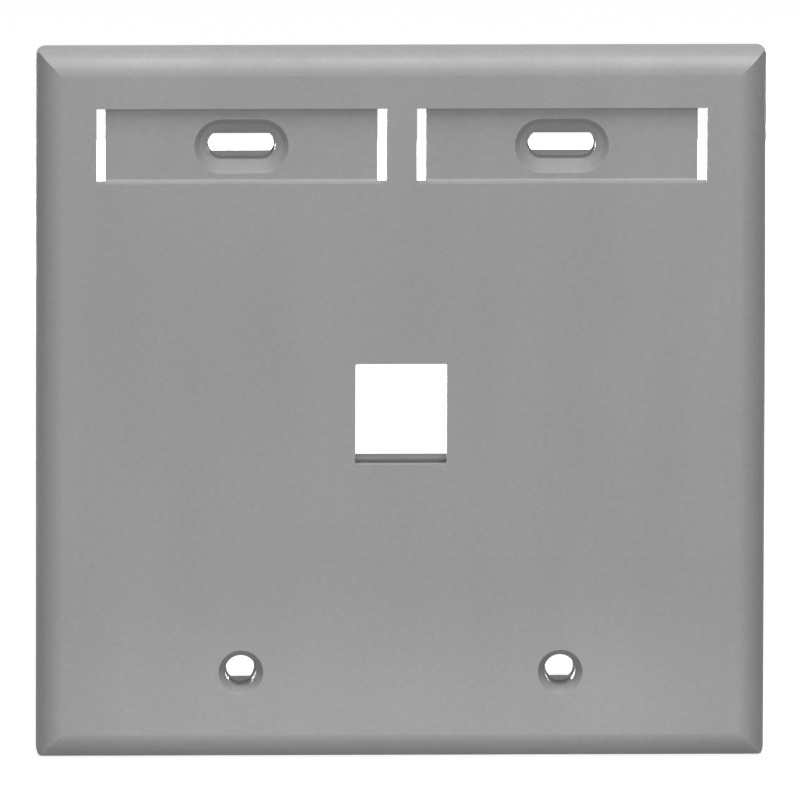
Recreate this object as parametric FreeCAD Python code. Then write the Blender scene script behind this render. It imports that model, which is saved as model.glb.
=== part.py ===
import FreeCAD, Part
import math
import os

from FreeCAD import Vector

# Two-gang wall plate with one keystone port, moulded in one piece.
# Frame: +Z up, the face looks towards -Y, and the origin is the middle of the rear plane, which lies
# against the wall. All sizes are in millimetres and degrees. Depths are measured back from the face.

# The plate's outside
plate_width = 115.9
plate_height = 114.3
plate_depth = 6.35
corner_radius = 1.6
rim_width = 4.1
rim_drop = 4.8

# Its walls, hollow at the back
face_wall = 2.3
skirt_wall = 2.3
skirt_draft = 1.5
least_hollow_rim = 0.8

# Screw positions: each gang has a slot above and a hole below the middle
gang_pitch = 50.8
slot_rise = 41.65
hole_fall = 42.95

# Label recesses, with a snap slot at each end for the clear cover's tabs
label_gap = 4.8
label_lift = 0.2
label_height = 12.05
label_depth = 1.3
label_floor = 1.8
label_draft = 12.0
label_fillet = 0.5
snap_slot_width = 1.45
snap_slot_corner = 0.25
label_pad_rim = 1.8

# Oblong screw slots: a mouth, a flatter seat, a straight wall, and a throat through the web at the back
slot_travel = 6.25
slot_radius = 2.3
slot_mouth_radius = 4.35
slot_mouth_depth = 0.9
slot_seat_radius = 3.5
slot_seat_depth = 0.7
slot_throat_radius = 2.1
slot_grip = 2.8
slot_boss_wall = 1.8

# Round screw holes: a countersink, a straight wall, and a throat with a flat below the screw
hole_radius = 2.5
hole_countersink_radius = 3.57
hole_countersink_depth = 1.9
hole_throat_radius = 2.25
hole_grip_fall = 1.65
hole_boss_wall = 2.2

# Thin web at the back of each slot and hole, whose throat grips the screw's thread
web_thickness = 0.5
boss_draft = 1.0

# Keystone port. The jack goes in from behind: its fixed hook seats behind the lower lip, and its latch
# springs up in front of the upper catch.
port_width = 14.6
port_height = 16.2
port_offset = -1.3
port_corner = 0.3
port_lip = 1.6
port_side_relief = 0.35
port_wall = 1.9
hook_pocket_drop = 2.0
hook_catch_depth = 6.2
latch_pocket_rise = 4.0
latch_catch_depth = 8.1
latch_catch_thickness = 1.75
latch_catch_overhang = 1.9
latch_ramp = 0.9
port_frame_fillet = 0.6

# Ribs that stiffen the hollow back
rib_thickness = 1.5
rib_setback = 1.6

# How far a cutting shape runs past the surface that it opens
overshoot = 1.0
tolerance = 1e-6

# Worked out from the sizes above
face_y = -plate_depth
label_length = gang_pitch - label_gap
label_rise = slot_rise + label_lift
label_back_y = face_y + label_depth + label_floor
root_y = face_y + face_wall / 2
hollow_rim = max(rim_width - skirt_wall, least_hollow_rim)
hollow_drop = max(rim_drop - face_wall, least_hollow_rim)
port_depth = latch_catch_depth + latch_catch_thickness
pocket_width = port_width + 2 * port_side_relief
port_bottom = port_offset - port_height / 2
port_top = port_offset + port_height / 2
frame_bottom = port_bottom - hook_pocket_drop - port_wall
frame_top = port_top + latch_pocket_rise + port_wall
gang_centres = [-gang_pitch / 2, gang_pitch / 2]


def at_depth(depth):
    """Y of the plane that lies this far behind the face."""
    return face_y + depth


def leaned(height, degrees):
    """How far a drafted wall leans over its height."""
    return height * math.tan(math.radians(degrees))


def placed(shape, x, z):
    """Copy of a shape moved across the plate."""
    copy = shape.copy()
    copy.translate(Vector(x, 0, z))
    return copy


def runs_along_y(edge):
    """Whether a straight edge runs from front to back."""
    return abs(edge.tangentAt(edge.FirstParameter).y) > 1 - tolerance


def rolled_rim(width, drop):
    """Points from the front plane round to the side, on two arcs that meet in a smooth quarter oval.

    Each point is measured from the oval's centre: outwards, then towards the front.
    """
    chord = math.hypot(width, drop)
    front_radius = chord * (chord + width - drop) / (2 * drop)
    side_radius = chord * (chord + drop - width) / (2 * width)
    meet_turn = math.atan2(drop, width)
    side_turn = math.radians(90)

    def on_front(turn):
        return front_radius * math.sin(turn), drop - front_radius + front_radius * math.cos(turn)

    def on_side(turn):
        return width - side_radius + side_radius * math.sin(turn), side_radius * math.cos(turn)

    front_arc = [on_front(0), on_front(meet_turn / 2), on_front(meet_turn)]
    return front_arc, [front_arc[-1], on_side((meet_turn + side_turn) / 2), on_side(side_turn)]


def rim_prism(half_size, half_run, along_z, rim, drop, plane_y, lean):
    """Straight run of the plate's section along X or Z, both edges rolled from the front plane to the side.

    Behind the rolled rim the sides lean outwards, in degrees, back to the rear plane.
    """
    def point(across, y):
        return Vector(across, y, -half_run) if along_z else Vector(-half_run, y, across)

    def arcs(side):
        made = []
        for marks in rolled_rim(rim, drop):
            ends = [point(side * (half_size - rim + out), plane_y + drop - front) for out, front in marks]
            made.append(Part.Arc(*ends).toShape())
        return made

    back = half_size + leaned(-plane_y - drop, lean)
    front = half_size - rim
    edges = [
        Part.makeLine(point(-back, 0), point(back, 0)),
        Part.makeLine(point(back, 0), point(half_size, plane_y + drop)),
        *reversed(arcs(1)),
        Part.makeLine(point(front, plane_y), point(-front, plane_y)),
        *arcs(-1),
        Part.makeLine(point(-half_size, plane_y + drop), point(-back, 0)),
    ]
    run = Vector(0, 0, 2 * half_run) if along_z else Vector(2 * half_run, 0, 0)
    return Part.Face(Part.Wire(edges)).extrude(run)


def mitred_block(inset, rim, drop, plane_y, lean):
    """Two rim prisms meet at right angles, so that the rolled rim has mitred corners."""
    half_width = plate_width / 2
    half_height = plate_height / 2
    wide = rim_prism(half_width - inset, half_height, True, rim, drop, plane_y, lean)
    tall = rim_prism(half_height - inset, half_width, False, rim, drop, plane_y, lean)
    return wide.common(tall)


def rounded_box(x_size, z_size, radius, y_front, y_back):
    """Block round the Y axis, with the edges that run from front to back rounded."""
    block = Part.makeBox(x_size, y_back - y_front, z_size, Vector(-x_size / 2, y_front, -z_size / 2))
    return block.makeFillet(radius, [edge for edge in block.Edges if runs_along_y(edge)])


def plate_outside():
    """The plate's outside as a full block, with its rolled rim and rounded corners."""
    rounded = rounded_box(plate_width, plate_height, corner_radius, face_y, 0)
    return mitred_block(0, rim_width, rim_drop, face_y, 0).common(rounded)


def plate_hollow():
    """The room behind the face wall and inside the skirt."""
    return mitred_block(skirt_wall, hollow_rim, hollow_drop, face_y + face_wall, skirt_draft)


def oblong_wire(radius, travel, y):
    """Outline of an oblong that lies along X, round the Y axis."""
    half = travel / 2
    return Part.Wire([
        Part.makeLine(Vector(-half, y, radius), Vector(half, y, radius)),
        Part.Arc(Vector(half, y, radius), Vector(half + radius, y, 0), Vector(half, y, -radius)).toShape(),
        Part.makeLine(Vector(half, y, -radius), Vector(-half, y, -radius)),
        Part.Arc(Vector(-half, y, -radius), Vector(-half - radius, y, 0), Vector(-half, y, radius)).toShape(),
    ])


def oblong_block(radius, travel, y_front, y_back):
    """Straight oblong solid."""
    return Part.Face(oblong_wire(radius, travel, y_front)).extrude(Vector(0, y_back - y_front, 0))


def oblong_taper(front_radius, back_radius, travel, y_front, y_back):
    """Oblong solid that narrows or widens from front to back."""
    wires = [oblong_wire(front_radius, travel, y_front), oblong_wire(back_radius, travel, y_back)]
    return Part.makeLoft(wires, True, True)


def cylinder(radius, y_front, y_back):
    """Cylinder on the Y axis."""
    return Part.makeCylinder(radius, y_back - y_front, Vector(0, y_front, 0), Vector(0, 1, 0))


def cone(front_radius, back_radius, y_front, y_back):
    """Cone on the Y axis."""
    return Part.makeCone(front_radius, back_radius, y_back - y_front, Vector(0, y_front, 0), Vector(0, 1, 0))


def section_prism(outline, width):
    """Solid with a (y, z) outline, run along X and centred on x = 0."""
    corners = [Vector(-width / 2, y, z) for y, z in outline]
    return Part.Face(Part.makePolygon(corners + corners[:1])).extrude(Vector(width, 0, 0))


def label_pad():
    """Thicker floor behind both label recesses."""
    length = gang_pitch + label_length + 2 * label_pad_rim
    height = label_height + 2 * label_pad_rim
    pad = Part.makeBox(length, label_back_y - root_y, height)
    pad.translate(Vector(-length / 2, root_y, label_rise - height / 2))
    return pad


def label_recess():
    """Shallow pocket whose long walls lean and curve into its floor, with a snap slot at each end."""
    floor_y = at_depth(label_depth)
    half = label_height / 2
    floor_half = half - leaned(label_depth, label_draft)
    front_y = face_y - overshoot
    upper_wall = [(front_y, half), (face_y, half), (floor_y, floor_half)]
    lower_wall = [(floor_y, -floor_half), (face_y, -half), (front_y, -half)]
    pocket = section_prism(upper_wall + lower_wall, label_length)
    floor_edges = []
    for edge in pocket.Edges:
        middle = edge.CenterOfMass
        if abs(middle.y - floor_y) < tolerance and abs(middle.x) < tolerance:
            floor_edges.append(edge)
    pocket = pocket.makeFillet(label_fillet, floor_edges)
    snap_slot = rounded_box(snap_slot_width, label_height, snap_slot_corner, front_y, overshoot)
    reach = (label_length - snap_slot_width) / 2
    return pocket.fuse([placed(snap_slot, -reach, 0), placed(snap_slot, reach, 0)])


def slot_boss():
    """Oblong boss that carries a screw slot through to the rear plane."""
    front_y = label_back_y - label_floor / 2
    radius = slot_radius + slot_boss_wall
    return oblong_taper(radius + leaned(-front_y, boss_draft), radius, slot_travel, front_y, 0)


def slot_cut():
    """Oblong mouth and seat, straight wall, and a throat with a flat above and below the screw."""
    floor_y = at_depth(label_depth)
    seat_y = floor_y + slot_mouth_depth
    wall_y = seat_y + slot_seat_depth
    opening = oblong_block(slot_mouth_radius, slot_travel, face_y - overshoot, floor_y)
    mouth = oblong_taper(slot_mouth_radius, slot_seat_radius, slot_travel, floor_y, seat_y)
    seat = oblong_taper(slot_seat_radius, slot_radius, slot_travel, seat_y, wall_y)
    wall = oblong_block(slot_radius, slot_travel, wall_y, -web_thickness)
    front_y = -web_thickness - overshoot
    back_radius = slot_throat_radius - leaned(overshoot - front_y, boss_draft)
    throat = oblong_taper(slot_throat_radius, back_radius, slot_travel, front_y, overshoot)
    length = slot_travel + 2 * slot_throat_radius
    flats = Part.makeBox(length, overshoot - front_y, slot_grip)
    flats.translate(Vector(-length / 2, front_y, -slot_grip / 2))
    return opening.fuse([mouth, seat, wall, throat.common(flats)])


def hole_boss():
    """Round boss that carries a screw hole through to the rear plane."""
    radius = hole_radius + hole_boss_wall
    return cone(radius + leaned(-root_y, boss_draft), radius, root_y, 0)


def hole_cut():
    """Round countersink, straight wall, and a throat with a flat below the screw."""
    wall_y = at_depth(hole_countersink_depth)
    opening = cylinder(hole_countersink_radius, face_y - overshoot, face_y)
    countersink = cone(hole_countersink_radius, hole_radius, face_y, wall_y)
    wall = cylinder(hole_radius, wall_y, -web_thickness)
    front_y = -web_thickness - overshoot
    back_radius = hole_throat_radius - leaned(overshoot - front_y, boss_draft)
    throat = cone(hole_throat_radius, back_radius, front_y, overshoot)
    above_flat = Part.makeBox(2 * hole_radius, overshoot - front_y, hole_radius + hole_grip_fall)
    above_flat.translate(Vector(-hole_radius, front_y, -hole_grip_fall))
    return opening.fuse([countersink, wall, throat.common(above_flat)])


def port_frame():
    """Block round the port, from the face wall to the back of the frame, with its outer edges rounded."""
    width = pocket_width + 2 * port_wall
    back_y = at_depth(port_depth)
    frame = Part.makeBox(width, back_y - root_y, frame_top - frame_bottom)
    frame.translate(Vector(-width / 2, root_y, frame_bottom))
    outer_edges = []
    for edge in frame.Edges:
        if runs_along_y(edge) or abs(edge.CenterOfMass.y - back_y) < tolerance:
            outer_edges.append(edge)
    return frame.makeFillet(port_frame_fillet, outer_edges)


def port_cut():
    """Opening through the lip, then the pocket behind it with the lower ledge and the upper catch."""
    lip_y = at_depth(port_lip)
    hook_y = at_depth(hook_catch_depth)
    latch_y = at_depth(latch_catch_depth)
    back_y = at_depth(port_depth)
    pocket_floor = port_bottom - hook_pocket_drop
    pocket_roof = port_top + latch_pocket_rise
    catch_edge = pocket_roof - latch_catch_overhang
    opening = rounded_box(port_width, port_height, port_corner, face_y - overshoot, lip_y)
    pocket = section_prism(
        [
            (lip_y, pocket_floor),
            (hook_y, pocket_floor),
            (hook_y, port_bottom),
            (back_y + overshoot, port_bottom),
            (back_y + overshoot, catch_edge + latch_ramp),
            (back_y, catch_edge + latch_ramp),
            (back_y - latch_ramp, catch_edge),
            (latch_y, catch_edge),
            (latch_y, pocket_roof),
            (lip_y, pocket_roof),
        ],
        pocket_width,
    )
    return placed(opening, 0, port_offset).fuse(pocket)


def ribs():
    """An upright rib from hole to slot in each gang, and rails from the port frame out to the skirt."""
    height = -rib_setback - root_y
    rail_start = pocket_width / 2 + port_wall / 2
    rail_length = plate_width / 2 - skirt_wall / 2 - rail_start
    upright = Part.makeBox(rib_thickness, height, slot_rise + hole_fall)
    rail = Part.makeBox(rail_length, height, rib_thickness)
    made = [placed(upright, x - rib_thickness / 2, -hole_fall) for x in gang_centres]
    for wall_middle in [frame_bottom + port_wall / 2, frame_top - port_wall / 2]:
        for start in [rail_start, -rail_start - rail_length]:
            made.append(placed(rail, start, wall_middle - rib_thickness / 2))
    for rib in made:
        rib.translate(Vector(0, root_y, 0))
    return made


def faceplate():
    """The finished moulding."""
    outside = plate_outside()
    added = [label_pad()] + ribs()
    removed = [port_cut()]
    for x in gang_centres:
        added += [placed(slot_boss(), x, slot_rise), placed(hole_boss(), x, -hole_fall)]
        removed += [placed(label_recess(), x, label_rise), placed(slot_cut(), x, slot_rise)]
        removed += [placed(hole_cut(), x, -hole_fall)]
    added = [solid.common(outside) for solid in added]
    shell = outside.cut(plate_hollow())
    return shell.fuse(added + [port_frame()]).cut(removed).removeSplitter()


os.makedirs("parts", exist_ok=True)
plate = faceplate()
print("solids", len(plate.Solids), "valid", plate.isValid(), "volume", round(plate.Volume, 1))
plate.Solids[0].exportStep("parts/faceplate.step")
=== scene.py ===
import math

import bpy
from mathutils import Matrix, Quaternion, Vector


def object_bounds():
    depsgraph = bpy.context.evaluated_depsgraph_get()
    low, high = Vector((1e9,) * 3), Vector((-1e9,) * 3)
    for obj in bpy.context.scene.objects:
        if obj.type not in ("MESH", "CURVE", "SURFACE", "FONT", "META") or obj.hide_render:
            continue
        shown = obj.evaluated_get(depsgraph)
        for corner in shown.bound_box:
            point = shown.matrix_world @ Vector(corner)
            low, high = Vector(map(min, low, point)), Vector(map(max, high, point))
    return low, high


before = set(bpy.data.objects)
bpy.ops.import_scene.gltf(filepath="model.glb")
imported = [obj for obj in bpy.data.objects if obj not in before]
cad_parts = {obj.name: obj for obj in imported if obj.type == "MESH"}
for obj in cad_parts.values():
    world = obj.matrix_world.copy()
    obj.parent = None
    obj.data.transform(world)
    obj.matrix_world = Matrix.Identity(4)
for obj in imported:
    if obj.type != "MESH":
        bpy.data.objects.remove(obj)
cad_low, cad_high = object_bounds()

# Camera: from a little above and a little to the left, through a long lens. Angles are degrees,
# the sensor and the lens millimetres, the rest metres. The roll takes off about half of the
# lean that this view gives the plate's level edges.
CAMERA_AZIMUTH = -1.7
CAMERA_ELEVATION = 10.0
CAMERA_ROLL = 0.15
SENSOR_WIDTH = 36.0
LENS = 1100.0
VIEW_WIDTH = 0.1270
AIM_RIGHT = -0.0002
AIM_UP = 0.0010
CLIP_END = 100.0

# Plastic: linear greys, factors on them, roughness, and sizes of the marks in metres
PLASTIC_DARK = 0.290
PLASTIC_LIGHT = 0.310
PIGMENT_DARK = 0.965
PIGMENT_LIGHT = 1.035
SATIN = 0.48
DULL = 0.60
CLOUD_SIZE = (0.045, 0.045, 0.045)
STREAK_SIZE = (0.010, 0.010, 0.060)
MOTTLE_SIZE = (0.0009, 0.0009, 0.0009)
SPARK_SIZE = (0.00025, 0.00025, 0.00025)
STREAK_HEIGHT = 0.00002
SPARK_HEIGHT = 0.000012

# Noise: its layers of detail, and the middle of its range, where most of its values lie
NOISE_DETAIL = 2.0
STREAK_DETAIL = 3.0
NOISE_LOW = 0.3
NOISE_HIGH = 0.7

# Stage: the floor's own grey takes the shadow, and its glow lifts it to white where it is lit.
# The world is dim as a light and white to look at.
WHITE = (1, 1, 1, 1)
FLOOR_HALF = 4.0
FLOOR_GREY = 0.28
FLOOR_GLOW = 0.89
WORLD_LIGHT = 0.03
WORLD_SEEN = 1.0

# Soft boxes: name, place, aim, width and height in metres, watts
LAMPS = (
    ("top", (0.0, -0.25, 1.17), (0, 0, 0), 0.30, 0.50, 8.0),
    ("key", (0.0, -0.70, 0.97), (0, 0, 0), 0.30, 0.60, 6.6),
    ("front", (0.0, -1.50, 0.08), (0, 0, 0), 0.40, 0.10, 6.6),
    ("bounce", (0.0, -0.07, -0.050), (0, 0, -0.045), 0.16, 0.01, 0.003),
    ("kicker", (0.0, -0.030, -0.048), (0, -0.022, -0.057), 0.12, 0.008, 0.0035),
    ("behind", (0.0, 0.60, -0.03), (0, 0, 0), 0.60, 0.04, 4.0),
)


def new_material(name):
    """Empty node material, its nodes and its links."""
    material = bpy.data.materials.new(name)
    material.use_nodes = True
    nodes = material.node_tree.nodes
    nodes.clear()
    return material, nodes, material.node_tree.links


def object_noise(nodes, links, size, detail=NOISE_DETAIL):
    """Noise fixed to the object, with features of the given size along x, y and z."""
    place = nodes.new("ShaderNodeTexCoord")
    stretch = nodes.new("ShaderNodeMapping")
    noise = nodes.new("ShaderNodeTexNoise")
    stretch.inputs["Scale"].default_value = [1 / length for length in size]
    noise.inputs["Scale"].default_value = 1.0
    noise.inputs["Detail"].default_value = detail
    links.new(place.outputs["Object"], stretch.inputs["Vector"])
    links.new(stretch.outputs["Vector"], noise.inputs["Vector"])
    return noise.outputs["Fac"]


def spread(nodes, links, value, low, high):
    """The noise's useful middle, stretched to run from low to high."""
    ramp = nodes.new("ShaderNodeMapRange")
    ramp.inputs["From Min"].default_value = NOISE_LOW
    ramp.inputs["From Max"].default_value = NOISE_HIGH
    ramp.inputs["To Min"].default_value = low
    ramp.inputs["To Max"].default_value = high
    links.new(value, ramp.inputs["Value"])
    return ramp.outputs["Result"]


def combine(nodes, links, operation, first, second):
    """One value worked out from two."""
    math_node = nodes.new("ShaderNodeMath")
    math_node.operation = operation
    links.new(first, math_node.inputs[0])
    links.new(second, math_node.inputs[1])
    return math_node.outputs["Value"]


def bump(nodes, links, height, metres, normal=None):
    """Relief of the given height, laid over an earlier one if there is one."""
    relief = nodes.new("ShaderNodeBump")
    relief.inputs["Distance"].default_value = metres
    links.new(height, relief.inputs["Height"])
    if normal:
        links.new(normal, relief.inputs["Normal"])
    return relief.outputs["Normal"]


def moulded_plastic():
    """Satin grey moulding: clouded pigment, flow streaks, uneven gloss, spark-eroded grain."""
    material, nodes, links = new_material("moulded_grey_plastic")
    output = nodes.new("ShaderNodeOutputMaterial")
    shader = nodes.new("ShaderNodeBsdfPrincipled")
    links.new(shader.outputs["BSDF"], output.inputs["Surface"])

    clouds = object_noise(nodes, links, CLOUD_SIZE)
    streaks = object_noise(nodes, links, STREAK_SIZE, STREAK_DETAIL)
    mottle = object_noise(nodes, links, MOTTLE_SIZE)
    sparks = object_noise(nodes, links, SPARK_SIZE)

    grey = spread(nodes, links, clouds, PLASTIC_DARK, PLASTIC_LIGHT)
    pigment = spread(nodes, links, mottle, PIGMENT_DARK, PIGMENT_LIGHT)
    colour = combine(nodes, links, "MULTIPLY", grey, pigment)
    roughness = spread(nodes, links, streaks, SATIN, DULL)
    flow = bump(nodes, links, streaks, STREAK_HEIGHT)
    grain = bump(nodes, links, sparks, SPARK_HEIGHT, flow)
    links.new(colour, shader.inputs["Base Color"])
    links.new(roughness, shader.inputs["Roughness"])
    links.new(grain, shader.inputs["Normal"])
    return material


def seen_directly(nodes, links):
    """One for camera, glossy and transmission rays, so that gloss shows the background too."""
    path = nodes.new("ShaderNodeLightPath").outputs
    seen = combine(nodes, links, "MAXIMUM", path["Is Camera Ray"], path["Is Glossy Ray"])
    return combine(nodes, links, "MAXIMUM", seen, path["Is Transmission Ray"])


def level_for_rays(nodes, links, lighting, seen):
    """One strength for rays that light the object, another for those that see the background."""
    level = nodes.new("ShaderNodeMapRange")
    level.inputs["To Min"].default_value = lighting
    level.inputs["To Max"].default_value = seen
    links.new(seen_directly(nodes, links), level.inputs["Value"])
    return level.outputs["Result"]


def white_stage():
    """Grey floor that takes the object's shadow and glows, so that it is white outside it."""
    material, nodes, links = new_material("white_stage")
    output = nodes.new("ShaderNodeOutputMaterial")
    diffuse = nodes.new("ShaderNodeBsdfDiffuse")
    diffuse.inputs["Color"].default_value = (FLOOR_GREY, FLOOR_GREY, FLOOR_GREY, 1)
    glow = nodes.new("ShaderNodeEmission")
    level = level_for_rays(nodes, links, lighting=0.0, seen=FLOOR_GLOW)
    links.new(level, glow.inputs["Strength"])
    both = nodes.new("ShaderNodeAddShader")
    links.new(diffuse.outputs["BSDF"], both.inputs[0])
    links.new(glow.outputs["Emission"], both.inputs[1])
    links.new(both.outputs["Shader"], output.inputs["Surface"])
    return material


def make_floor():
    """Plain floor under the plate's lower edge."""
    mesh = bpy.data.meshes.new("floor")
    signs = ((-1, -1), (1, -1), (1, 1), (-1, 1))
    corners = [(x * FLOOR_HALF, y * FLOOR_HALF, cad_low.z) for x, y in signs]
    mesh.from_pydata(corners, [], [(0, 1, 2, 3)])
    floor = bpy.data.objects.new("floor", mesh)
    bpy.context.scene.collection.objects.link(floor)
    floor.data.materials.append(white_stage())


def make_world():
    """Dim even surroundings, seen as white."""
    world = bpy.data.worlds.new("studio")
    bpy.context.scene.world = world
    world.use_nodes = True
    nodes, links = world.node_tree.nodes, world.node_tree.links
    nodes.clear()
    output = nodes.new("ShaderNodeOutputWorld")
    background = nodes.new("ShaderNodeBackground")
    background.inputs["Color"].default_value = WHITE
    level = level_for_rays(nodes, links, lighting=WORLD_LIGHT, seen=WORLD_SEEN)
    links.new(level, background.inputs["Strength"])
    links.new(background.outputs["Background"], output.inputs["Surface"])


def soft_box(name, place, aim, width, height, watts):
    """Rectangular lamp at a place, turned to its aim and hidden from the camera."""
    light = bpy.data.lights.new(name, "AREA")
    light.shape = "RECTANGLE"
    light.size = width
    light.size_y = height
    light.energy = watts
    lamp = bpy.data.objects.new(name, light)
    lamp.location = place
    direction = Vector(aim) - Vector(place)
    lamp.rotation_euler = direction.to_track_quat("-Z", "Y").to_euler()
    lamp.visible_camera = False
    bpy.context.scene.collection.objects.link(lamp)


def make_camera():
    """Long lens, aimed just off the middle of the face, wide enough for the whole plate."""
    azimuth = math.radians(CAMERA_AZIMUTH)
    elevation = math.radians(CAMERA_ELEVATION)
    roll = math.radians(CAMERA_ROLL)
    back = Vector((
        math.sin(azimuth) * math.cos(elevation),
        -math.cos(azimuth) * math.cos(elevation),
        math.sin(elevation),
    ))
    turn = (-back).to_track_quat("-Z", "Y") @ Quaternion((0, 0, 1), roll)
    right = turn @ Vector((1, 0, 0))
    up = turn @ Vector((0, 1, 0))
    aim = Vector((0, cad_low.y, 0)) + right * AIM_RIGHT + up * AIM_UP
    data = bpy.data.cameras.new("camera")
    data.sensor_width = SENSOR_WIDTH
    data.lens = LENS
    data.clip_end = CLIP_END
    camera = bpy.data.objects.new("camera", data)
    camera.location = aim + back * VIEW_WIDTH * LENS / SENSOR_WIDTH
    camera.rotation_euler = turn.to_euler()
    bpy.context.scene.collection.objects.link(camera)
    bpy.context.scene.camera = camera


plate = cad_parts["faceplate"]
plate.data.materials.clear()
plate.data.materials.append(moulded_plastic())

make_floor()
make_world()
for lamp_row in LAMPS:
    soft_box(*lamp_row)
make_camera()
bpy.context.scene.view_settings.view_transform = "Standard"
